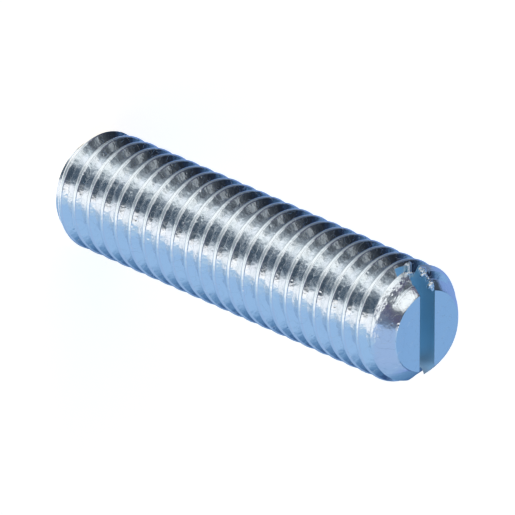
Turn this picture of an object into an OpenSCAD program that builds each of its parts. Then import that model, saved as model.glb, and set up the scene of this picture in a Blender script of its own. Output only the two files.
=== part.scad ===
// Slotted threaded rod: a headless stud with a metric coarse thread over its
// whole length, a chamfered flat point at each end and a screwdriver slot
// sawn across one of them. It stands on the plain point, axis along +Z, with
// the slot at the top and running along Y. All lengths are in millimetres.

/* [Thread] */
// Nominal diameter of the thread
thread_d = 3; // [2.5:0.1:4]
// Pitch: the rise of the thread in one turn
pitch = 0.5; // [0.4:0.05:0.7]
// How far the crest stays under half the nominal diameter, so that a nut runs
crest_allowance = 0.02; // [0:0.005:0.04]
// Included angle between the two flanks, in degrees
flank_angle = 60; // [50:1:70]
// Width of the narrow land that is left on the crest
crest_w = 0.06; // [0.03:0.005:0.09]
// Depth of the thread from crest to root
thread_depth = 0.3; // [0.2:0.01:0.32]
// Turn of the thread about the axis, in degrees
thread_phase = 350; // [0:5:355]

/* [Rod] */
// Overall length from point to point
rod_l = 12; // [6:0.5:20]

/* [Points] */
// Diameter of the flat on the plain point
point_d = 2; // [1.6:0.05:2.2]
// Angle between the plain point's chamfer and the axis, in degrees
point_angle = 40; // [30:1:50]
// Diameter of the flat on the slotted point
head_d = 2; // [1.6:0.05:2.2]
// Angle between the slotted point's chamfer and the axis, in degrees
head_angle = 40; // [30:1:50]

/* [Screwdriver slot] */
// Width of the slot between its two walls
slot_w = 0.48; // [0.4:0.02:0.6]
// Depth of the slot from the slotted point
slot_depth = 0.88; // [0.6:0.02:1.1]

/* [Hidden] */
$fn = 80;

// Straight facets in one turn of the thread
turn_steps = 40;
crest_r = thread_d / 2 - crest_allowance;
root_r = crest_r - thread_depth;
// The root is rounded over the last part of the depth
root_rise = thread_depth / 8;
flank_foot = crest_w / 2 + (thread_depth - root_rise) * tan(flank_angle / 2);
// One pitch of the thread's section, as [height, radius] from one crest to
// the next: the land, a flank, the rounded root and the flank back up.
section = [
    [-crest_w / 2, crest_r],
    [crest_w / 2, crest_r],
    [flank_foot, root_r + root_rise],
    [pitch / 2, root_r],
    [pitch - flank_foot, root_r + root_rise]
];
side = len(section);
// The thread starts below the plain point and ends above the slotted one, so
// that both ends are cut from full turns.
z_start = -1.25 * pitch;
turns = ceil((rod_l - z_start) / pitch) + 1;
steps = turns * turn_steps;
// The blank is wider than the thread, so its chamfers alone cut the thread
blank_r = thread_d / 2 + pitch;

// Corner j of the section after i steps along the helix
function at(i, j) = let (
    a = thread_phase + 360 * i / turn_steps,
    z = z_start + pitch * i / turn_steps + section[j][0],
    r = section[j][1]
) [r * cos(a), r * sin(a), z];
function id(i, j) = i * side + j;
foot = (steps + 1) * side;
tip = foot + 1;

// The endless thread: one sheet wound round the axis, each turn joined to the
// turn below it, and closed by a fan to the axis at each end.
module thread_body() {
    points = concat(
        [for (i = [0:steps], j = [0:side - 1]) at(i, j)],
        [[0, 0, z_start - pitch], [0, 0, z_start + pitch * (turns + 1)]]
    );
    strips = [
        for (i = [0:steps - 1], j = [0:side - 2], f = [0, 1])
            f == 0 ? [id(i, j), id(i, j + 1), id(i + 1, j)]
                   : [id(i + 1, j), id(i, j + 1), id(i + 1, j + 1)]
    ];
    joins = [
        for (i = [0:steps - turn_steps - 1], f = [0, 1])
            f == 0 ? [id(i, side - 1), id(i + turn_steps, 0), id(i + 1, side - 1)]
                   : [id(i + 1, side - 1), id(i + turn_steps, 0), id(i + turn_steps + 1, 0)]
    ];
    // Open edge at the bottom: a turn of lower edges, then up the section
    low = concat(
        [for (i = [0:turn_steps]) id(i, 0)],
        [for (j = [side - 1:-1:1]) id(0, j)]
    );
    // Open edge at the top: a turn of upper edges, then down the section
    high = concat(
        [for (i = [steps - turn_steps:steps]) id(i, side - 1)],
        [for (j = [side - 2:-1:0]) id(steps, j)]
    );
    fans = concat(
        [for (k = [0:len(low) - 1]) [foot, low[k], low[(k + 1) % len(low)]]],
        [for (k = [0:len(high) - 1]) [tip, high[(k + 1) % len(high)], high[k]]]
    );
    polyhedron(points, concat(strips, joins, fans));
}

// The blank: its flat points and straight chamfers, open wide in between
module blank() {
    rotate_extrude()
        polygon([
            [0, 0],
            [point_d / 2, 0],
            [blank_r, (blank_r - point_d / 2) / tan(point_angle)],
            [blank_r, rod_l - (blank_r - head_d / 2) / tan(head_angle)],
            [head_d / 2, rod_l],
            [0, rod_l]
        ]);
}

// The sawn slot, open at the top and at both sides
module driver_slot() {
    translate([-slot_w / 2, -thread_d, rod_l - slot_depth])
        cube([slot_w, 2 * thread_d, 2 * slot_depth]);
}

module threaded_rod() {
    color("lightsteelblue")
    difference() {
        intersection() {
            thread_body();
            blank();
        }
        driver_slot();
    }
}

threaded_rod();
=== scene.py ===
"""A slotted threaded rod of zinc plated steel: its rolled thread, its sawn slot with the burr that the
saw left, and the studio it stands in. It is laid out as an add-on and run as a script."""

import bpy
import numpy as np
from bpy.props import FloatProperty, FloatVectorProperty, IntProperty, PointerProperty
from mathutils import Matrix, Vector


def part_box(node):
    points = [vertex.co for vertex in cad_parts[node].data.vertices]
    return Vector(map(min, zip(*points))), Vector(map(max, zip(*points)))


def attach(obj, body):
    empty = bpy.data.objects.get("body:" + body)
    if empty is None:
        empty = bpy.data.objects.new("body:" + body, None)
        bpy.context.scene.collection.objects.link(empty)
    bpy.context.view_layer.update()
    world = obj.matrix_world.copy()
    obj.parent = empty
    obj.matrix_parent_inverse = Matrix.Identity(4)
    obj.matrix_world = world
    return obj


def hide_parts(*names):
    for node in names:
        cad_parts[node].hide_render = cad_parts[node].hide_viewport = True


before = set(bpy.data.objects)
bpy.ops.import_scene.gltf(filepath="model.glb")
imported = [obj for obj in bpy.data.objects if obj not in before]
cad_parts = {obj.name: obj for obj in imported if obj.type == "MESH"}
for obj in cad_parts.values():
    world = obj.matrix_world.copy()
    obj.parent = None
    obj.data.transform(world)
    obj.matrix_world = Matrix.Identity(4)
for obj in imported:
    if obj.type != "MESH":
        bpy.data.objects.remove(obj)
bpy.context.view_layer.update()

bl_info = {
    "name": "Threaded rod",
    "version": (1, 0, 0),
    "blender": (4, 5, 0),
    "location": "3D View > Sidebar > Threaded rod",
    "description": "Builds a slotted threaded rod with a rolled thread and bright zinc plate",
    "category": "Object",
}

MM = 0.001
_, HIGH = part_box("threaded_rod")
# Edges of the rod that turn by more than this stay sharp
SHARP_TURN = np.radians(16)


def linear(hex_code):
    """The linear colour of an sRGB hex value: each channel below 0.04045 is divided by 12.92, and each
    one above it is (channel + 0.055) / 1.055 to the power 2.4."""
    srgb = np.array([int(hex_code[i : i + 2], 16) for i in (1, 3, 5)]) / 255
    low = srgb / 12.92
    high = ((srgb + 0.055) / 1.055) ** 2.4
    return tuple(np.where(srgb <= 0.04045, low, high))


# ---------------------------------------------------------------- sizes and colours


class RodSizes(bpy.types.PropertyGroup):
    """Sizes of the rod. What the frame gives comes from the frame, and the rest repeats the solid."""

    crest_radius: FloatProperty(
        name="Crest radius", description="From the axis to the top of the thread",
        default=HIGH.x, min=1 * MM, max=2.5 * MM, subtype="DISTANCE", unit="LENGTH", precision=5,
    )
    length: FloatProperty(
        name="Length", description="From the plain point to the slotted point",
        default=HIGH.z, min=6 * MM, max=20 * MM, subtype="DISTANCE", unit="LENGTH", precision=5,
    )
    pitch: FloatProperty(
        name="Pitch", description="Rise of the thread in one turn",
        default=0.5 * MM, min=0.35 * MM, max=0.8 * MM, subtype="DISTANCE", unit="LENGTH", precision=5,
    )
    thread_start: FloatProperty(
        name="Thread start", description="Turn of the thread about the axis",
        default=np.radians(350.0), subtype="ANGLE", unit="ROTATION",
    )
    flank_angle: FloatProperty(
        name="Flank angle", description="Between one flank and a plane square to the axis",
        default=np.radians(30.0), subtype="ANGLE", unit="ROTATION",
    )
    crest_round: FloatProperty(
        name="Crest rounding", description="Radius that rolling leaves on the crest",
        default=0.08 * MM, min=0.02 * MM, max=0.12 * MM, subtype="DISTANCE", unit="LENGTH", precision=5,
    )
    root_round: FloatProperty(
        name="Root rounding", description="Radius at the bottom of the groove",
        default=0.06 * MM, min=0.02 * MM, max=0.1 * MM, subtype="DISTANCE", unit="LENGTH", precision=5,
    )
    point_radius: FloatProperty(
        name="Point radius", description="Radius of the flat on either point",
        default=1.0 * MM, min=0.5 * MM, max=1.4 * MM, subtype="DISTANCE", unit="LENGTH", precision=5,
    )
    chamfer_angle: FloatProperty(
        name="Chamfer angle", description="Between a point's chamfer and the axis",
        default=np.radians(40.0), subtype="ANGLE", unit="ROTATION",
    )
    chamfer_swell: FloatProperty(
        name="Chamfer swell", description="Turn of the chamfer from its straight line, at either edge",
        default=np.radians(7.0), min=0.01, max=0.3, subtype="ANGLE", unit="ROTATION",
    )
    rim_round: FloatProperty(
        name="Rim rounding", description="Radius where a flat turns into its chamfer",
        default=0.05 * MM, min=0.01 * MM, max=0.2 * MM, subtype="DISTANCE", unit="LENGTH", precision=5,
    )
    slot_width: FloatProperty(
        name="Slot width", description="Between the two walls of the slot",
        default=0.48 * MM, min=0.4 * MM, max=0.6 * MM, subtype="DISTANCE", unit="LENGTH", precision=5,
    )
    slot_depth: FloatProperty(
        name="Slot depth", description="From the slotted point to the slot's floor",
        default=0.88 * MM, min=0.6 * MM, max=1.1 * MM, subtype="DISTANCE", unit="LENGTH", precision=5,
    )
    burr_height: FloatProperty(
        name="Burr height", description="How far the saw's burr stands from the slot's rim",
        default=0.1 * MM, min=0.01 * MM, max=0.15 * MM, subtype="DISTANCE", unit="LENGTH", precision=5,
    )
    burr_thickness: FloatProperty(
        name="Burr thickness", description="Thickness of the saw's burr",
        default=0.09 * MM, min=0.01 * MM, max=0.12 * MM, subtype="DISTANCE", unit="LENGTH", precision=5,
    )
    turn_steps: IntProperty(
        name="Steps in a turn", description="Straight facets in one turn of the thread",
        default=128, min=24, max=160,
    )


class PlateColours(bpy.types.PropertyGroup):
    """Colours of the plate, of the walls of the slot, which are a little darker and bluer than the plate
    and so paint shade into the slot, and of the grey that the walls go over to at the slot's mouth on the
    -y side.
    """

    zinc: FloatVectorProperty(
        name="Zinc", description="Bright zinc under a clear blue passivation",
        subtype="COLOR", size=3, min=0, max=1, default=linear("#e6eaec"),
    )
    zinc_violet: FloatVectorProperty(
        name="Violet cast", description="Where the passivation is a little thicker",
        subtype="COLOR", size=3, min=0, max=1, default=linear("#e3e6ec"),
    )
    # The sawn colours are a little darker and bluer than the plate's: partly the walls' own tint, partly
    # painted shade in the slot
    sawn: FloatVectorProperty(
        name="Sawn", description="Thin zinc on the walls of the slot",
        subtype="COLOR", size=3, min=0, max=1, default=linear("#d4ebf3"),
    )
    sawn_dark: FloatVectorProperty(
        name="Sawn, dark", description="Where the zinc on the walls is thinnest",
        subtype="COLOR", size=3, min=0, max=1, default=linear("#cee7f1"),
    )
    # A dull warm grey that the walls of the slot go over to towards their mouth on the -y side
    mouth_grey: FloatVectorProperty(
        name="Bare", description="Grey steel that shows at the slot's lower mouth",
        subtype="COLOR", size=3, min=0, max=1, default=linear("#a8a09c"),
    )


class StudioSizes(bpy.types.PropertyGroup):
    """Where the camera stands."""

    side_turn: FloatProperty(
        name="Side turn", description="Angle by which the rod's axis leaves the picture plane",
        default=np.radians(47.5), subtype="ANGLE", unit="ROTATION",
    )
    height: FloatProperty(
        name="Height", description="Angle from which the camera looks down on the lying rod",
        default=np.radians(23.66), subtype="ANGLE", unit="ROTATION",
    )
    distance: FloatProperty(
        name="Distance", description="From the slotted point to the camera",
        default=270 * MM, min=50 * MM, max=1, subtype="DISTANCE", unit="LENGTH",
    )
    shown_width: FloatProperty(
        name="Shown width", description="Width of the picture at the slotted point",
        default=12.1 * MM, min=5 * MM, max=50 * MM, subtype="DISTANCE", unit="LENGTH", precision=5,
    )
    across: FloatProperty(
        name="Across", description="From the slotted point to the picture's middle, to the right",
        default=-3.987 * MM, subtype="DISTANCE", unit="LENGTH", precision=5,
    )
    upward: FloatProperty(
        name="Upward", description="From the slotted point to the picture's middle, upwards",
        default=1.731 * MM, subtype="DISTANCE", unit="LENGTH", precision=5,
    )


# ---------------------------------------------------------------- meshes


def make_piece(name, corners, faces):
    """A mesh object from an array of corners and a list of faces, with its place in its mesh."""
    mesh = bpy.data.meshes.new(name)
    mesh.from_pydata(corners.tolist(), [], faces)
    mesh.update()
    piece = bpy.data.objects.new(name, mesh)
    bpy.context.scene.collection.objects.link(piece)
    return piece


def thread_section(sizes, arc_steps=9):
    """One pitch of the thread as two arrays, height and radius, from one crest to the next.

    The section is a V of straight flanks. An arc of crest_round touches both flanks at the crest and
    an arc of root_round touches them at the root: point = centre + radius * (sin t, cos t), with t up
    to a right angle less the flank angle. The depth follows from the pitch and both radii."""
    tan, sin = np.tan(sizes.flank_angle), np.sin(sizes.flank_angle)
    sharp = sizes.pitch / 2 / tan
    crest_cut = sizes.crest_round * (1 / sin - 1)
    root_cut = sizes.root_round * (1 / sin - 1)
    root_radius = sizes.crest_radius - (sharp - crest_cut - root_cut)
    reach = np.pi / 2 - sizes.flank_angle
    t = np.linspace(-reach, reach, arc_steps)
    crest_height = sizes.crest_round * np.sin(t)
    crest = sizes.crest_radius - sizes.crest_round * (1 - np.cos(t))
    root_height = sizes.pitch / 2 + sizes.root_round * np.sin(t)
    root = root_radius + sizes.root_round * (1 - np.cos(t))
    return np.concatenate([crest_height, root_height]), np.concatenate([crest, root])


def helical_sheet(sizes):
    """The endless thread as one closed sheet, a little longer than the rod at both ends.

    Corner (i, j) is corner j of the section after i steps: angle = start + 360 * i / steps, height =
    foot + pitch * i / steps + section height. The last corner of one turn meets the first corner of
    the turn above, and a fan to the axis closes each end."""
    height, radius = thread_section(sizes)
    side, turn = len(height), sizes.turn_steps
    # Low enough for the open edge below, a turn long, to lie clear of the plain point
    foot = -1.25 * sizes.pitch
    turns = int(np.ceil((sizes.length - foot) / sizes.pitch)) + 1
    steps = turns * turn
    i = np.arange(steps + 1)[:, None]
    angle = sizes.thread_start + 2 * np.pi * i / turn + 0 * height
    z = foot + sizes.pitch * i / turn + height
    r = radius + 0 * z
    corners = np.stack([r * np.cos(angle), r * np.sin(angle), z], -1).reshape(-1, 3)
    ends = [[0, 0, foot - sizes.pitch], [0, 0, foot + sizes.pitch * (turns + 1)]]
    corners = np.vstack([corners, ends])
    # Quads between neighbouring corners of the section, and from each turn to the next
    i, j = np.meshgrid(np.arange(steps), np.arange(side - 1), indexing="ij")
    here = (i * side + j).ravel()
    strips = np.stack([here, here + side, here + side + 1, here + 1], -1)
    last = np.arange(steps - turn) * side + side - 1
    above = (np.arange(steps - turn) + turn) * side
    joins = np.stack([last, last + side, above + side, above], -1)
    # The open edges: a turn of corners, then along the section
    low = np.concatenate([np.arange(turn + 1) * side, np.arange(side - 1, 0, -1)])
    high = np.concatenate([
        (steps - turn + np.arange(turn + 1)) * side + side - 1,
        steps * side + np.arange(side - 2, -1, -1),
    ])
    foot_tip, head_tip = len(corners) - 2, len(corners) - 1
    low_fan = np.stack([0 * low + foot_tip, np.roll(low, -1), low], -1)
    high_fan = np.stack([0 * high + head_tip, high, np.roll(high, -1)], -1)
    faces = [*strips.tolist(), *joins.tolist(), *low_fan.tolist(), *high_fan.tolist()]
    return make_piece("thread_sheet", corners, faces)


def turned_solid(name, height, radius, steps=256):
    """A profile turned about the axis: corner (i, k) is (radius k * cos a, radius k * sin a, height k)
    with a = 360 * i / steps. The profile runs upwards, and a fan to the axis closes each end."""
    a = 2 * np.pi * np.arange(steps)[:, None] / steps
    rings = np.stack([radius * np.cos(a), radius * np.sin(a), height + 0 * a], -1)
    count = len(height)
    corners = np.vstack([rings.reshape(-1, 3), [[0, 0, height[0]], [0, 0, height[-1]]]])
    i, k = np.meshgrid(np.arange(steps), np.arange(count - 1), indexing="ij")
    here, beside = i * count + k, (i + 1) % steps * count + k
    walls = np.stack([here, beside, beside + 1, here + 1], -1).reshape(-1, 4)
    ring = np.arange(steps) * count
    after = np.roll(ring, -1)
    foot = np.stack([0 * ring + steps * count, after, ring], -1)
    top = count - 1
    head = np.stack([0 * ring + steps * count + 1, ring + top, after + top], -1)
    return make_piece(name, corners, [*walls.tolist(), *foot.tolist(), *head.tolist()])


def chamfer_slopes(sizes):
    """The swollen chamfer's slopes from the axis: chamfer_angle + swell at the flat, and chamfer_angle -
    swell at the crest."""
    return sizes.chamfer_angle + sizes.chamfer_swell, sizes.chamfer_angle - sizes.chamfer_swell


def chamfer_arc(sizes, slope):
    """Depth below the flat and radius where the swollen chamfer has these slopes from the axis.

    Between its edges the slope falls evenly: depth = bend * (sin first - sin slope), radius =
    point_radius + bend * (cos slope - cos first), and bend makes it end at the crest radius."""
    first, last = chamfer_slopes(sizes)
    bend = (sizes.crest_radius - sizes.point_radius) / (np.cos(last) - np.cos(first))
    depth = bend * (np.sin(first) - np.sin(slope))
    return depth, sizes.point_radius + bend * (np.cos(slope) - np.cos(first))


def blank_profile(sizes, rim_steps=6, swell_steps=10):
    """The blank's profile from the plain point up: a flat, a rim arc, the chamfer, a straight run out to
    well past the thread, and the same again to the slotted point.

    The rim arc has rim_round and touches the flat and the chamfer's first slope: height = round *
    (1 - cos t), radius = flat edge + round * sin t."""
    first, last = chamfer_slopes(sizes)
    turn = np.pi / 2 - first
    t = np.linspace(0, turn, rim_steps)
    edge = sizes.point_radius - sizes.rim_round * np.tan(turn / 2)
    rim_height = sizes.rim_round * (1 - np.cos(t))
    rim = edge + sizes.rim_round * np.sin(t)
    depth, radius = chamfer_arc(sizes, np.linspace(first, last, swell_steps))
    # The rim arc takes the place of the chamfer's first points
    keep = radius > rim[-1] + sizes.rim_round / 4
    wide = sizes.crest_radius + sizes.pitch
    wide_height = depth[-1] + (wide - radius[-1]) / np.tan(last)
    height = np.concatenate([rim_height, depth[keep], [wide_height]])
    radius = np.concatenate([rim, radius[keep], [wide]])
    return np.append(height, sizes.length - height[::-1]), np.append(radius, radius[::-1])


def slot_tool(sizes):
    """The saw's path as a box: as wide as the slot, from its floor to above the slotted point."""
    half = sizes.slot_width / 2
    reach = 2 * sizes.crest_radius
    low = np.array([-half, -reach, sizes.length - sizes.slot_depth])
    high = np.array([half, reach, sizes.length + sizes.slot_depth])
    corner = np.indices((2, 2, 2)).reshape(3, -1).T
    corners = np.where(corner == 1, high, low)
    faces = [(0, 1, 3, 2), (4, 6, 7, 5), (0, 4, 5, 1), (2, 3, 7, 6), (0, 2, 6, 4), (1, 5, 7, 3)]
    return make_piece("slot_tool", corners, faces)


def cut(piece, tool, operation):
    """Replaces the piece's mesh by its intersection with the tool, or what the tool leaves of it."""
    modifier = piece.modifiers.new(operation.lower(), "BOOLEAN")
    modifier.operation = operation
    modifier.solver = "MANIFOLD"
    modifier.object = tool
    graph = bpy.context.evaluated_depsgraph_get()
    mesh = bpy.data.meshes.new_from_object(piece.evaluated_get(graph))
    piece.modifiers.clear()
    piece.data = mesh
    bpy.data.objects.remove(tool)


def ragged(u, rates, shifts):
    """A ragged line from -1 to 1: the mean of sines of u at these rates, in turns, and shifts."""
    return np.sin(2 * np.pi * u[:, None] * np.array(rates) + np.array(shifts)).mean(-1)


def blunt_ends(u):
    """1 over most of a sliver and down to 0 at its ends: the root of 16 * u * (1 - u), up to 1."""
    return np.sqrt(np.clip(16 * u * (1 - u), 0, 1))


def burr_tube(path, lean, half_height, half_thickness, round_steps=14):
    """A torn sliver as a closed tube: its corners, and its faces as three arrays, the wall and both
    ends. Its section is an ellipse whose long axis leans from the path.

    Corner (i, k) = path i + lean i * height i * (0.4 + cos a) + side i * thickness i * sin a, with
    a = 360 * k / steps and side square to the path and the lean. A fan to the section's middle closes
    each end."""
    along = np.gradient(path, axis=0)
    side = np.cross(along, lean)
    side /= np.linalg.norm(side, axis=1, keepdims=True)
    a = 2 * np.pi * np.arange(round_steps) / round_steps
    up = half_height[:, None] * (0.4 + np.cos(a))
    out = half_thickness[:, None] * np.sin(a)
    rings = path[:, None] + lean[:, None] * up[..., None] + side[:, None] * out[..., None]
    count = len(path)
    tips = path[[0, -1]] + 0.4 * lean[[0, -1]] * half_height[[0, -1], None]
    corners = np.vstack([rings.reshape(-1, 3), tips])
    i, k = np.meshgrid(np.arange(count - 1), np.arange(round_steps), indexing="ij")
    here, beside = i * round_steps + k, i * round_steps + (k + 1) % round_steps
    walls = np.stack([here, beside, beside + round_steps, here + round_steps], -1).reshape(-1, 4)
    ring = np.arange(round_steps)
    after = np.roll(ring, -1)
    foot = np.stack([0 * ring + count * round_steps, after, ring], -1)
    top = (count - 1) * round_steps
    head = np.stack([0 * ring + count * round_steps + 1, ring + top, after + top], -1)
    return corners, (walls, foot, head)


def rim_path(sizes, side, start, end, steps):
    """The slot's rim where a wall meets the chamfer, on one side of the slot, as points, and the way
    out of the chamfer there. The slope goes evenly from start to end, as parts of the chamfer."""
    part = np.linspace(start, end, steps)
    slope = sizes.chamfer_angle + sizes.chamfer_swell * (1 - 2 * part)
    depth, radius = chamfer_arc(sizes, slope)
    x = side * sizes.slot_width / 2 + 0 * part
    y = np.sqrt(radius**2 - x**2)
    out = np.stack([np.cos(slope) * x / radius, np.cos(slope) * y / radius, np.sin(slope)], -1)
    return np.stack([x, y, sizes.length - depth], -1), out


# How each sliver of the burr is torn, and how the rim's one sways: rates in turns, and shifts
RIM_TEAR = ((1.9, 4.3, 9.1), (1.0, 2.2, 0.5))
RIM_SWAY = ((1.7, 4.1, 8.3), (0.4, 1.9, 2.6))
CORNER_TEAR = ((2.3, 5.9), (0.2, 1.1))
FLOOR_TEAR = ((2.1, 5.3, 11.9), (2.0, 0.3, 1.4))
# The lumps on the rim's sliver: place along it, width and size, the first of them at the thread
RIM_LUMPS = ((0.86, 0.1, 1.0), (0.2, 0.07, 0.5))
# Direction across the slot
ACROSS = np.array([1.0, 0, 0])


def rim_sliver(sizes):
    """The sliver along the upper rim of the slot, from near the face to the thread.

    Its path goes from the rim into the slot by height * (0.35 + 0.9 * sway), and it leans over by as
    much as it sways. Half height = height * (0.6 + 0.45 * torn + 0.8 * lump), half thickness = thin *
    (0.7 + 1.1 * lump - 0.3 * torn), both times the blunt ends, and a sixth and an eighth of thin more.
    """
    height, thin = sizes.burr_height, sizes.burr_thickness / 2
    path, out = rim_path(sizes, side=1, start=0.02, end=0.84, steps=170)
    u = np.linspace(0, 1, len(path))
    torn = ragged(u, *RIM_TEAR)
    sway = ragged(u, *RIM_SWAY)
    ends = blunt_ends(u)
    lump = sum(size * np.exp(-(((u - place) / width) ** 2)) for place, width, size in RIM_LUMPS)
    path = path - ACROSS * (height * (0.35 + 0.9 * sway))[:, None]
    lean = out - 0.5 * ACROSS + 0.9 * ACROSS * sway[:, None]
    lean /= np.linalg.norm(lean, axis=1, keepdims=True)
    half_height = height * (0.6 + 0.45 * torn + 0.8 * lump) * ends + thin / 6
    half_thickness = thin * (0.7 + 1.1 * lump - 0.3 * torn) * ends + thin / 8
    return burr_tube(path, lean, half_height, half_thickness)


def corner_sliver(sizes):
    """The sliver that hangs from the opposite rim's outer corner into the slot.

    Path = corner + across * (0.85 * half the slot's width * u - curl) - way * curl * u squared, where
    way goes out of the chamfer. Half height = height * (0.4 + 0.25 * torn). It is blunt at the rim and
    draws in to its free end."""
    height, thin = sizes.burr_height, sizes.burr_thickness / 2
    reach = sizes.slot_width / 2 * 0.85
    curl = 0.03 * MM
    (corner,), (way,) = rim_path(sizes, side=-1, start=0.8, end=0.8, steps=1)
    u = np.linspace(0, 1, 50)
    torn = ragged(u, *CORNER_TEAR)
    path = corner + ACROSS * (reach * u - curl)[:, None] - way * (curl * u**2)[:, None]
    ends = np.sqrt(np.clip(12 * (1 - u), 0, 1)) * (1 - 0.5 * u)
    half_height = height * (0.4 + 0.25 * torn) * ends + thin / 4
    half_thickness = thin * 0.8 * ends + thin / 6
    return burr_tube(path, np.tile(way, (len(u), 1)), half_height, half_thickness)


def floor_sliver(sizes):
    """The sliver along the corner of the slot's floor, where the blade broke out.

    It lies 0.3 * thin off both sides of the corner, from 0.7 to 0.97 of the crest radius, and leans
    half way between them. Half height = height * (0.5 + 0.3 * torn + 0.3 * u)."""
    height, thin = sizes.burr_height, sizes.burr_thickness / 2
    floor = sizes.length - sizes.slot_depth
    u = np.linspace(0, 1, 70)
    torn = ragged(u, *FLOOR_TEAR)
    ends = blunt_ends(u)
    y = sizes.crest_radius * (0.7 + 0.27 * u)
    path = np.stack([sizes.slot_width / 2 - 0.3 * thin + 0 * y, y, floor + 0.3 * thin + 0 * y], -1)
    lean = np.tile(np.array([-1.0, 0, 1.0]) / np.sqrt(2), (len(u), 1))
    half_height = height * (0.5 + 0.3 * torn + 0.3 * u) * ends + thin / 4
    return burr_tube(path, lean, half_height, thin * ends + thin / 6)


def slot_burr(sizes):
    """The burr that the saw left, as three torn slivers in one mesh. Its corners are drawn in to 0.998 of
    the crest radius and to a micrometre below the slotted point, so it stays in the rod's own box."""
    corners, faces, count = [], [], 0
    for part, part_faces in (rim_sliver(sizes), corner_sliver(sizes), floor_sliver(sizes)):
        corners.append(part)
        faces += [face for group in part_faces for face in (group + count).tolist()]
        count += len(part)
    corners = np.vstack(corners)
    reach = np.hypot(corners[:, 0], corners[:, 1])
    corners[:, :2] *= np.minimum(1, 0.998 * sizes.crest_radius / reach)[:, None]
    corners[:, 2] = np.minimum(corners[:, 2], sizes.length - 0.001 * MM)
    return make_piece("slot_burr", corners, faces)


def slot_faces(piece, sizes):
    """For each face of the piece, whether it is a wall or the floor of the slot: its middle lies within
    half the slot's width of the slot's mid-plane and above its floor, both with a hair to spare."""
    mesh = piece.data
    middle = np.empty(3 * len(mesh.polygons))
    mesh.polygons.foreach_get("center", middle)
    x, _, z = middle.reshape(-1, 3).T
    hair = 0.002 * MM
    return (abs(x) < sizes.slot_width / 2 + hair) & (z > sizes.length - sizes.slot_depth - hair)


# ---------------------------------------------------------------- materials


def add_node(tree, kind, settings=None, inputs=None):
    """Adds a node, sets its properties, and sets or links its inputs."""
    node = tree.nodes.new(kind)
    for name, value in (settings or {}).items():
        setattr(node, name, value)
    for name, value in (inputs or {}).items():
        if isinstance(value, bpy.types.NodeSocket):
            tree.links.new(value, node.inputs[name])
        else:
            node.inputs[name].default_value = value
    return node


def new_material(name):
    """A material with an empty node tree, and that tree."""
    material = bpy.data.materials.new(name)
    material.use_nodes = True
    material.node_tree.nodes.clear()
    return material, material.node_tree


def sawn_plate(colours):
    """Zinc plate on the sawn walls of the slot. It is dull, and the saw's strokes show through it as fine
    lines along the slot.
    Its colours are a little darker and bluer than the plate's: partly the walls' own tint, partly painted
    shade in the slot."""
    material, tree = new_material("painted_shade_sawn_zinc")
    place = add_node(tree, "ShaderNodeTexCoord").outputs["Object"]
    # Saw strokes run along y, about 0.06 mm apart and 1 mm long. Real ones are finer, and these are as
    # coarse as they need to be to show
    strokes = add_node(tree, "ShaderNodeMapping", inputs={"Vector": place, "Scale": (1.0, 0.06, 1.0)})
    line = add_node(tree, "ShaderNodeTexNoise", inputs={
        "Vector": strokes.outputs["Vector"], "Scale": 1 / (0.06 * MM), "Detail": 3.0,
    })
    # Cloudy tarnish, about 0.4 mm across
    cloud = add_node(tree, "ShaderNodeTexNoise", inputs={
        "Vector": place, "Scale": 1 / (0.4 * MM), "Detail": 2.0,
    })
    # Painted shade: the walls' colours are a little darker and bluer than the plate's, so that the slot
    # stays dark
    tint = add_node(tree, "ShaderNodeMix", {"data_type": "RGBA"}, {
        "Factor": cloud.outputs["Fac"],
        "A": (*colours.sawn, 1),
        "B": (*colours.sawn_dark, 1),
    })
    # Towards the slot's mouth on the -y side the walls go over to a dull warm grey: it starts 0.95 mm off
    # the axis, and is all that shows past 1.35 mm
    along = add_node(tree, "ShaderNodeSeparateXYZ", inputs={"Vector": place}).outputs["Y"]
    towards_mouth = add_node(tree, "ShaderNodeMapRange", {"interpolation_type": "SMOOTHSTEP"}, {
        "Value": along, "From Min": -0.95 * MM, "From Max": -1.35 * MM,
    })
    tint = add_node(tree, "ShaderNodeMix", {"data_type": "RGBA"}, {
        "Factor": towards_mouth.outputs["Result"],
        "A": tint.outputs["Result"],
        "B": (*colours.mouth_grey, 1),
    })
    relief = add_node(tree, "ShaderNodeBump", inputs={
        "Height": line.outputs["Fac"], "Strength": 0.5, "Distance": 0.006 * MM,
    })
    shader = add_node(tree, "ShaderNodeBsdfPrincipled", inputs={
        "Base Color": tint.outputs["Result"],
        "Metallic": 1.0,
        "Roughness": 0.34,
        "Normal": relief.outputs["Normal"],
    })
    add_node(tree, "ShaderNodeOutputMaterial", inputs={"Surface": shader.outputs["BSDF"]})
    return material


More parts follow.
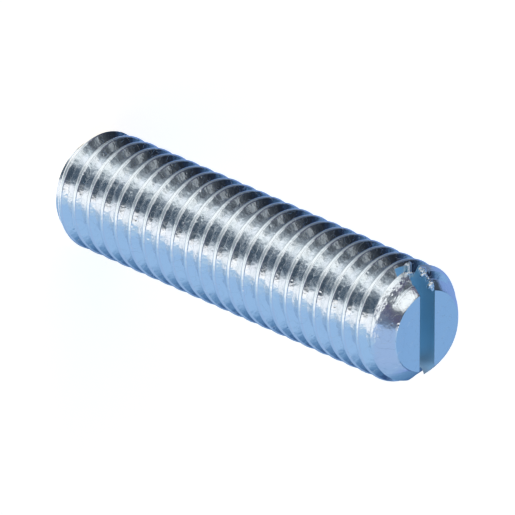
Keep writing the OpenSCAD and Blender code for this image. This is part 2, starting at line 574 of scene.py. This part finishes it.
def zinc_plate(colours):
    """Bright zinc plate on rolled steel, with a clear blue passivation. Barrel plating leaves a skin
    that is bright but not flat: it mirrors the studio with broken, mottled edges, fine knocks from the
    other parts in the barrel catch the light as sparks, and the passivation gives it a faint cast."""
    material, tree = new_material("bright_zinc_plate_on_rolled_steel")
    place = add_node(tree, "ShaderNodeTexCoord").outputs["Object"]
    # Cloudy cast of the passivation, about 0.5 mm across
    cloud = add_node(tree, "ShaderNodeTexNoise", inputs={
        "Vector": place, "Scale": 1 / (0.5 * MM), "Detail": 2.0,
    })
    cast = add_node(tree, "ShaderNodeMix", {"data_type": "RGBA"}, {
        "Factor": cloud.outputs["Fac"],
        "A": (*colours.zinc, 1),
        "B": (*colours.zinc_violet, 1),
    })
    # The plated skin's waves, about 0.25 mm across, and its grain, about 0.07 mm across. Real grain is
    # finer, and this is as coarse as it needs to be to show
    relief = None
    for size, depth, strength in ((0.25 * MM, 0.010 * MM, 1.0), (0.07 * MM, 0.003 * MM, 0.9)):
        wave = add_node(tree, "ShaderNodeTexNoise", inputs={
            "Vector": place, "Scale": 1 / size, "Detail": 1.5,
        })
        under = {"Normal": relief.outputs["Normal"]} if relief else {}
        relief = add_node(tree, "ShaderNodeBump", inputs={
            "Height": wave.outputs["Fac"], "Strength": strength, "Distance": depth, **under,
        })
    # Knocks, 0.16 mm apart: three in ten of these places stand 3 micrometres proud, round a smooth pit
    # 0.1 mm wide
    spots = add_node(tree, "ShaderNodeTexVoronoi", inputs={"Vector": place, "Scale": 1 / (0.16 * MM)})
    pit = add_node(tree, "ShaderNodeMapRange", {"interpolation_type": "SMOOTHSTEP"}, {
        "Value": spots.outputs["Distance"], "From Min": 0.0, "From Max": 0.3,
    })
    struck = add_node(tree, "ShaderNodeMath", {"operation": "GREATER_THAN"}, {
        0: spots.outputs["Color"], 1: 0.64,
    })
    knock = add_node(tree, "ShaderNodeMath", {"operation": "MULTIPLY"}, {
        0: pit.outputs["Result"], 1: struck.outputs["Value"],
    })
    relief = add_node(tree, "ShaderNodeBump", inputs={
        "Height": knock.outputs["Value"], "Strength": 1.0, "Distance": 0.003 * MM,
        "Normal": relief.outputs["Normal"],
    })
    # Dull and bright patches, about 0.12 mm across
    patch = add_node(tree, "ShaderNodeTexNoise", inputs={
        "Vector": place, "Scale": 1 / (0.12 * MM), "Detail": 3.0,
    })
    gloss = add_node(tree, "ShaderNodeMapRange", inputs={
        "Value": patch.outputs["Fac"],
        "From Min": 0.35, "From Max": 0.65, "To Min": 0.07, "To Max": 0.17,
    })
    shader = add_node(tree, "ShaderNodeBsdfPrincipled", inputs={
        "Base Color": cast.outputs["Result"],
        "Metallic": 1.0,
        "Roughness": gloss.outputs["Result"],
        "Normal": relief.outputs["Normal"],
    })
    add_node(tree, "ShaderNodeOutputMaterial", inputs={"Surface": shader.outputs["BSDF"]})
    return material


# ---------------------------------------------------------------- operators


class ROD_OT_threaded_rod(bpy.types.Operator):
    """Build the rod with its rolled thread, its points and its slot"""

    bl_idname = "rod.threaded_rod"
    bl_label = "Threaded rod"

    def execute(self, context):
        sizes = context.scene.rod_sizes
        rod = helical_sheet(sizes)
        cut(rod, turned_solid("blank", *blank_profile(sizes)), "INTERSECT")
        cut(rod, slot_tool(sizes), "DIFFERENCE")
        rod.name = rod.data.name = "rolled_rod"
        rod.data.shade_smooth()
        rod.data.set_sharp_from_angle(angle=SHARP_TURN)
        rod.data.materials.clear()
        for skin in (zinc_plate, sawn_plate):
            rod.data.materials.append(skin(context.scene.plate_colours))
        rod.data.polygons.foreach_set("material_index", slot_faces(rod, sizes).astype(int))
        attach(rod, "root")
        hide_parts("threaded_rod")
        return {"FINISHED"}


class ROD_OT_slot_burr(bpy.types.Operator):
    """Add the torn slivers that the saw left at the slot"""

    bl_idname = "rod.slot_burr"
    bl_label = "Slot burr"

    def execute(self, context):
        burr = slot_burr(context.scene.rod_sizes)
        burr.data.shade_smooth()
        burr.data.materials.append(zinc_plate(context.scene.plate_colours))
        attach(burr, "root")
        return {"FINISHED"}


class ROD_OT_studio(bpy.types.Operator):
    """Set up the floor, the light and the camera"""

    bl_idname = "rod.studio"
    bl_label = "Studio"

    def execute(self, context):
        scene = context.scene
        studio, sizes = scene.studio_sizes, scene.rod_sizes
        scene.view_settings.view_transform = "Standard"
        basis = camera_basis(studio)
        place_camera(scene, studio, sizes, basis)
        floor_sheet()
        card_ring(sizes)
        light_room(scene)
        return {"FINISHED"}


def camera_basis(studio):
    """Right, up and towards the camera in the rod's frame, for a camera that sees the rod as if it lay
    level: its axis leaves the picture plane by the side turn, and the camera looks down by the
    height."""
    turn, height = studio.side_turn, studio.height
    towards = Vector((-np.cos(turn) * np.cos(height), np.sin(height), np.sin(turn) * np.cos(height)))
    right = Vector((np.sin(turn), 0, np.cos(turn)))
    return right, towards.cross(right), towards


def place_camera(scene, studio, sizes, basis):
    """The camera, on the line through the picture's middle. Its lens shows the wanted width."""
    right, up, towards = basis
    camera = bpy.data.cameras.new("camera")
    camera.sensor_width = 36
    camera.lens = camera.sensor_width * studio.distance / studio.shown_width
    camera.clip_start = studio.distance / 10
    camera.clip_end = studio.distance * 10
    holder = bpy.data.objects.new("camera", camera)
    scene.collection.objects.link(holder)
    middle = Vector((0, 0, sizes.length)) + right * studio.across + up * studio.upward
    turned = Matrix((right, up, towards)).transposed().to_4x4()
    holder.matrix_world = Matrix.Translation(middle + towards * studio.distance) @ turned
    scene.camera = holder


# The sky's light on the paper floor is blue, and the glow that makes up the rest of white is as much
# warmer
PAPER_GLOW = "#fff2df"
PAPER_GLOW_STRENGTH = 0.64


def floor_sheet():
    """A pale paper floor under the plain point. It is white to the camera and keeps the rod's shadow."""
    half = 400 * MM
    corners = np.array([(-half, -half, 0), (half, -half, 0), (half, half, 0), (-half, half, 0)])
    floor = make_piece("floor", corners, [(0, 1, 2, 3)])
    material, tree = new_material("white_paper")
    paper = add_node(tree, "ShaderNodeBsdfDiffuse", inputs={"Color": (*linear("#ffffff"), 1)})
    glow = add_node(tree, "ShaderNodeEmission", inputs={
        "Color": (*linear(PAPER_GLOW), 1), "Strength": PAPER_GLOW_STRENGTH,
    })
    both = add_node(tree, "ShaderNodeAddShader")
    tree.links.new(paper.outputs[0], both.inputs[0])
    tree.links.new(glow.outputs[0], both.inputs[1])
    path = add_node(tree, "ShaderNodeLightPath").outputs
    mirrored = add_node(tree, "ShaderNodeMath", {"operation": "MAXIMUM"}, {
        0: path["Is Glossy Ray"], 1: path["Is Transmission Ray"],
    })
    eye = add_node(tree, "ShaderNodeMath", {"operation": "MAXIMUM"}, {
        0: path["Is Camera Ray"], 1: mirrored.outputs["Value"],
    })
    seen = add_node(tree, "ShaderNodeMixShader", inputs={"Fac": eye.outputs["Value"]})
    tree.links.new(paper.outputs[0], seen.inputs[1])
    tree.links.new(both.outputs[0], seen.inputs[2])
    add_node(tree, "ShaderNodeOutputMaterial", inputs={"Surface": seen.outputs[0]})
    floor.data.materials.append(material)


# The studio's boards: dark flags, grey cards, silver and white strips, and blue boards for the sky side
BLACK = "#1b2028"
INK = "#1f2c43"
CHARCOAL = "#2d333b"
FLINT = "#363c4a"
SLATE = "#3e4b58"
LEAD = "#4a5865"
DUSK = "#64758c"
GRAPHITE = "#464b51"
PLUM = "#55546c"
GREY = "#60686f"
DOVE = "#828c94"
SILVER = "#a6adb1"
PEARL = "#d8e1e4"
WHITE = "#f6fafa"
BRIGHT = "#ffffff"
ICE = "#aac4da"
SKY = "#92b5da"
HAZE = "#95afd4"
MIST = "#8caad0"
LILAC = "#7896ca"
STEEL = "#638ab2"
DENIM = "#4a709a"
NAVY = "#2e4670"
# The boards fan out from a line. Each stop is an angle round it in degrees, from the top of the lying
# rod over its front to its underside, and the board that stands there. The steep set is what the flanks
# mirror, the middle, low and edge sets what the chamfer mirrors from its flat to its outer edge, and
# the cards are what the crests mirror.
STEEP_BANDS = (
    (-44, LILAC), (-8, DENIM), (8, INK), (16, BLACK), (24, CHARCOAL), (33, GRAPHITE), (36.8, SILVER),
    (40.5, GREY), (46, GRAPHITE), (50, GREY), (53.5, DOVE), (57.5, SILVER), (62, WHITE), (67, PEARL),
    (72, DOVE), (79, SLATE), (88, SLATE), (94, GREY), (99, BRIGHT), (103, BRIGHT), (107.5, ICE),
    (118, SKY), (146, SKY), (156, STEEL), (167, DENIM), (178, NAVY), (215, NAVY),
)
MIDDLE_BANDS = (
    (-60, LILAC), (-2, LILAC), (8, SLATE), (28, FLINT), (47, PLUM), (53, WHITE), (76, WHITE),
    (82, GREY), (91, PLUM), (102, DUSK), (107, HAZE), (150, HAZE), (166, MIST), (178, LILAC),
    (190, DENIM), (215, DENIM),
)
LOW_BANDS = (
    (-60, LILAC), (2, LILAC), (12, SLATE), (26, FLINT), (60, PLUM), (75, GREY), (84, PLUM),
    (102, DUSK), (107, HAZE), (150, HAZE), (166, MIST), (178, LILAC), (190, DENIM), (215, DENIM),
)
EDGE_BANDS = (
    (-60, LILAC), (21, LILAC), (30, DUSK), (38, GREY), (46, SILVER), (54, PEARL), (60, WHITE),
    (116, WHITE), (121, ICE), (128, SKY), (150, MIST), (160, STEEL), (170, DENIM), (180, NAVY),
    (230, DENIM),
)
CARD_BANDS = (
    (-60, LILAC), (21, LILAC), (30, DUSK), (38, GREY), (46, DOVE), (55, SILVER), (61, PEARL),
    (68, WHITE), (74, WHITE), (80, SILVER), (90, DOVE), (97, PEARL), (103, WHITE), (109, WHITE),
    (115, ICE), (128, SKY), (150, MIST), (160, STEEL), (170, DENIM), (180, NAVY), (230, DENIM),
)
# Painted reflection: the colours that the cards show, in place of their own, to a ray that the plate has
# mirrored a second time, as in a groove
PAINTED_GROOVE_BANDS = (
    (-40, DENIM), (10, INK), (30, CHARCOAL), (50, GRAPHITE), (55, GREY), (61, PEARL), (65, BRIGHT),
    (70, WHITE), (76, DOVE), (82, LEAD), (91, LEAD), (95, DOVE), (100, BRIGHT), (112, BRIGHT),
    (119, ICE), (129, SKY), (150, SKY), (160, MIST), (182, STEEL), (230, STEEL),
)
# Where the foot of the fan's line is on the sky, seen from the sky's middle, and the way the fan faces
FAN_LINE = (0.619, -0.401, -0.675)
FAN_FACING = np.radians(147.0)
# Each set takes over from the one before it, and the first from the cards, between two slopes: degrees
# above level, seen from the foot of the fan's line
TAKEOVERS = (
    (EDGE_BANDS, 30.5, 32.5),
    (LOW_BANDS, 36.0, 38.0),
    (MIDDLE_BANDS, 40.5, 42.5),
    (STEEP_BANDS, 47.5, 52.5),
)
# The pale blue board round the fan's line that the slotted point mirrors: how far from the line it is
# whole, and how far out it has gone over into the fan, both on a sky of radius 1
FACE_BOARD = "#7da4cf"
FACE_REACH, FACE_EDGE = 0.5, 0.62
# Strength of the boards, and the strength that the cards gain for a ray that the plate has mirrored a
# second time, as in a groove: a painted lift
LIGHT = 1.28
PAINTED_GROOVE_LIFT = 0.18
# The ring of cards from its foot outwards: radius and height in millimetres
CARD_RING = ((1.7, 0.03), (20.0, 3.0), (200.0, 11.8))


def fan_boards(tree, turn, bands):
    """The colour of a set of boards at a turn round the fan's line. A board at some angle in degrees is
    at 0.5 + (angle - 90) / 360 of the turn, and the colour goes evenly from each board to the next."""
    node = add_node(tree, "ShaderNodeValToRGB", inputs={"Fac": turn})
    stops = node.color_ramp.elements
    for k, (angle, board) in enumerate(bands):
        place = 0.5 + (angle - 90) / 360
        # A new ramp has two stops already
        stop = stops[k] if k < 2 else stops.new(place)
        stop.position = place
        stop.color = (*linear(board), 1)
    return node.outputs["Color"]


def fan_turn(tree, vector, line):
    """The vector from the fan's line, and the turn round that line as a part of one, with a half where
    the fan faces."""
    fan = add_node(tree, "ShaderNodeMapping", {"vector_type": "TEXTURE"}, {
        "Vector": vector, "Location": line, "Rotation": (0, 0, FAN_FACING),
    }).outputs["Vector"]
    flat = add_node(tree, "ShaderNodeVectorMath", {"operation": "MULTIPLY"}, {0: fan, 1: (1, 1, 0)})
    away = add_node(tree, "ShaderNodeVectorMath", {"operation": "LENGTH"}, {0: flat.outputs["Vector"]})
    turn = add_node(tree, "ShaderNodeTexGradient", {"gradient_type": "RADIAL"}, {"Vector": fan})
    return fan, away.outputs["Value"], turn.outputs["Fac"]


def card_ring(sizes, steps=96):
    """Tinted cards that glow and lean outwards round the rod, and only the plate's reflections show them.
    To a ray that the plate has mirrored a second time, as in a groove, they show other colours at more
    strength: painted light and shade in the grooves.

    Corner (i, k) is (radius k * cos a, radius k * sin a, height k) with a = 360 * i / steps."""
    a = 2 * np.pi * np.arange(steps)[:, None] / steps
    radius, height = np.array(CARD_RING).T * MM
    count = len(radius)
    corners = np.stack([radius * np.cos(a), radius * np.sin(a), height + 0 * a], -1).reshape(-1, 3)
    i, k = np.meshgrid(np.arange(steps), np.arange(count - 1), indexing="ij")
    here, beside = count * i + k, count * ((i + 1) % steps) + k
    quads = np.stack([here, here + 1, beside + 1, beside], -1).reshape(-1, 4)
    ring = make_piece("card_ring", corners, quads.tolist())
    for ray in ("camera", "diffuse", "transmission", "volume_scatter", "shadow"):
        setattr(ring, "visible_" + ray, False)
    material, tree = new_material("glowing_tinted_card")
    place = add_node(tree, "ShaderNodeTexCoord").outputs["Object"]
    _, away, turn = fan_turn(tree, place, (0, 0, 0))
    # A crest mirrors the cards at 2 - crest radius / card radius times its own turn
    share = add_node(tree, "ShaderNodeMath", {"operation": "DIVIDE"}, {0: sizes.crest_radius, 1: away})
    gain = add_node(tree, "ShaderNodeMath", {"operation": "SUBTRACT"}, {
        0: 2.0, 1: share.outputs["Value"],
    })
    middle = add_node(tree, "ShaderNodeMath", {"operation": "SUBTRACT"}, {0: turn, 1: 0.5})
    spread = add_node(tree, "ShaderNodeMath", {"operation": "DIVIDE"}, {
        0: middle.outputs["Value"], 1: gain.outputs["Value"],
    })
    seen = add_node(tree, "ShaderNodeMath", {"operation": "ADD"}, {0: spread.outputs["Value"], 1: 0.5})
    # The depth is 1 where the plate mirrors a card once
    bounces = add_node(tree, "ShaderNodeLightPath").outputs["Glossy Depth"]
    # Painted light and shade: rays mirrored a second time see the groove colours, a little stronger, in
    # place of the cards' own
    again = add_node(tree, "ShaderNodeMath", {"operation": "GREATER_THAN"}, {0: bounces, 1: 1.5})
    tint = add_node(tree, "ShaderNodeMix", {"data_type": "RGBA"}, {
        "Factor": again.outputs["Value"],
        "A": fan_boards(tree, seen.outputs["Value"], CARD_BANDS),
        "B": fan_boards(tree, seen.outputs["Value"], PAINTED_GROOVE_BANDS),
    })
    strength = add_node(tree, "ShaderNodeMath", {"operation": "MULTIPLY_ADD"}, {
        0: again.outputs["Value"], 1: PAINTED_GROOVE_LIFT, 2: LIGHT,
    })
    glow = add_node(tree, "ShaderNodeEmission", inputs={
        "Color": tint.outputs["Result"], "Strength": strength.outputs["Value"],
    })
    add_node(tree, "ShaderNodeOutputMaterial", inputs={"Surface": glow.outputs[0]})
    ring.data.materials.append(material)


def light_room(scene):
    """The studio: strip lights and dark flags that fan out round the rod, and a pale blue board that the
    slotted point mirrors."""
    world = bpy.data.worlds.new("studio")
    scene.world = world
    world.use_nodes = True
    tree = world.node_tree
    tree.nodes.clear()
    direction = add_node(tree, "ShaderNodeTexCoord").outputs["Generated"]
    fan, away, turn = fan_turn(tree, direction, FAN_LINE)
    rise = add_node(tree, "ShaderNodeSeparateXYZ", inputs={"Vector": fan}).outputs["Z"]
    slope = add_node(tree, "ShaderNodeMath", {"operation": "ARCTAN2"}, {0: rise, 1: away})
    room = fan_boards(tree, turn, CARD_BANDS)
    for bands, start, end in TAKEOVERS:
        over = add_node(tree, "ShaderNodeMapRange", {"interpolation_type": "SMOOTHSTEP"}, {
            "Value": slope.outputs["Value"], "From Min": np.radians(start), "From Max": np.radians(end),
        })
        room = add_node(tree, "ShaderNodeMix", {"data_type": "RGBA"}, {
            "Factor": over.outputs["Result"], "A": room, "B": fan_boards(tree, turn, bands),
        }).outputs["Result"]
    outside = add_node(tree, "ShaderNodeMapRange", {"interpolation_type": "SMOOTHSTEP"}, {
        "Value": away, "From Min": FACE_REACH, "From Max": FACE_EDGE,
    })
    room = add_node(tree, "ShaderNodeMix", {"data_type": "RGBA"}, {
        "Factor": outside.outputs["Result"], "A": (*linear(FACE_BOARD), 1), "B": room,
    })
    back = add_node(tree, "ShaderNodeBackground", inputs={
        "Color": room.outputs["Result"], "Strength": LIGHT,
    })
    add_node(tree, "ShaderNodeOutputWorld", inputs={"Surface": back.outputs[0]})


# ---------------------------------------------------------------- panel and registration

PIECES = (ROD_OT_threaded_rod, ROD_OT_slot_burr, ROD_OT_studio)


class ROD_PT_panel(bpy.types.Panel):
    """The rod's sizes and colours, and a button for each piece"""

    bl_idname = "ROD_PT_panel"
    bl_label = "Threaded rod"
    bl_space_type = "VIEW_3D"
    bl_region_type = "UI"
    bl_category = "Threaded rod"

    def draw(self, context):
        for group in (context.scene.rod_sizes, context.scene.plate_colours, context.scene.studio_sizes):
            box = self.layout.box()
            for name in group.__annotations__:
                box.prop(group, name)
        for piece in PIECES:
            self.layout.operator(piece.bl_idname)


GROUPS = {"rod_sizes": RodSizes, "plate_colours": PlateColours, "studio_sizes": StudioSizes}
CLASSES = (*GROUPS.values(), *PIECES, ROD_PT_panel)


def register():
    """Makes the classes known, and gives every scene its sizes and colours."""
    for item in CLASSES:
        bpy.utils.register_class(item)
    for name, group in GROUPS.items():
        setattr(bpy.types.Scene, name, PointerProperty(type=group))


def unregister():
    """Takes back what register gave."""
    for name in GROUPS:
        delattr(bpy.types.Scene, name)
    for item in reversed(CLASSES):
        bpy.utils.unregister_class(item)


def main():
    """Builds the rod, its burr and the studio."""
    register()
    bpy.ops.rod.threaded_rod()
    bpy.ops.rod.slot_burr()
    bpy.ops.rod.studio()


if __name__ == "__main__":
    main()
